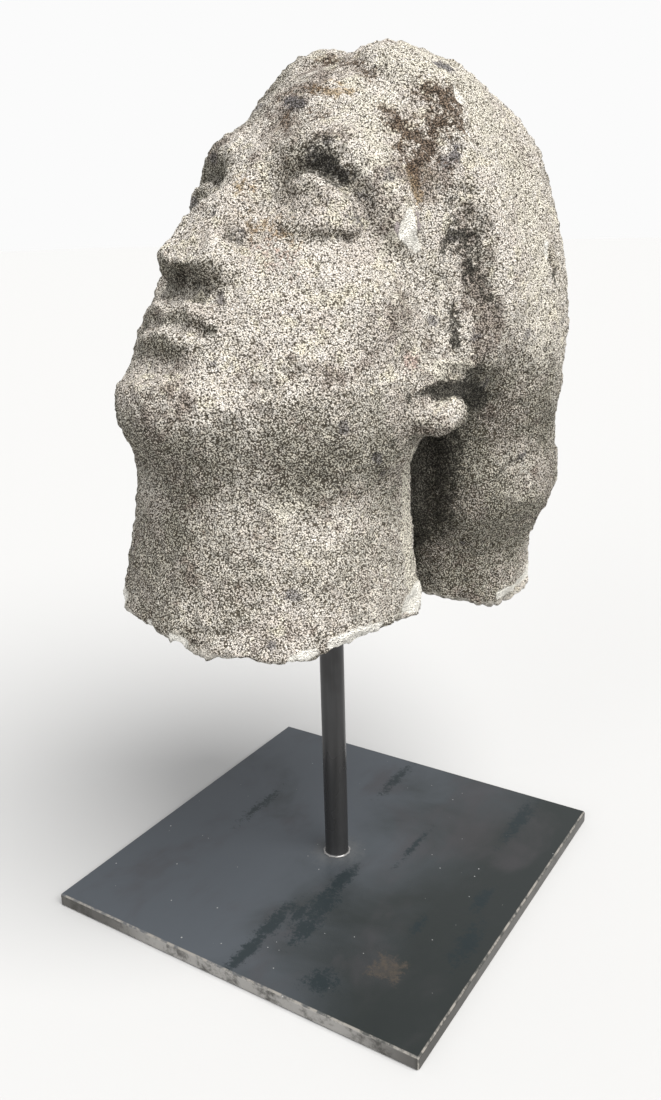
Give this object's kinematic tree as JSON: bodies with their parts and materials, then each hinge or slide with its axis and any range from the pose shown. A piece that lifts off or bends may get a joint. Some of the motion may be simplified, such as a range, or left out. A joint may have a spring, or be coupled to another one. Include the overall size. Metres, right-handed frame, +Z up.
{
  "type": "stone head on a stand",
  "caption": "Weathered classical stone head with centre-parted hair, thrown back and broken off below the neck, held up on a steel rod over a square steel base plate.",
  "frame": {"origin": "middle of the base plate's underside", "axes": "+Z up the rod, the head's face turned about 12 degrees from -Y towards -X, +X towards the head's own left side, plate edges along X and Y"},
  "size_m": [0.3, 0.3342, 0.5841],
  "materials": {
    "stone": "coarse, pitted and weathered, with brown stains and fresh pale chips",
    "rod_steel": "dark, lightly rubbed, satin",
    "plate_steel": "blackened mill scale, mottled and scratched"
  },
  "bodies": {
    "root": {"stone_head": "stone", "support_rod": "rod_steel", "base_plate": "plate_steel"}
  },
  "joints": []
}
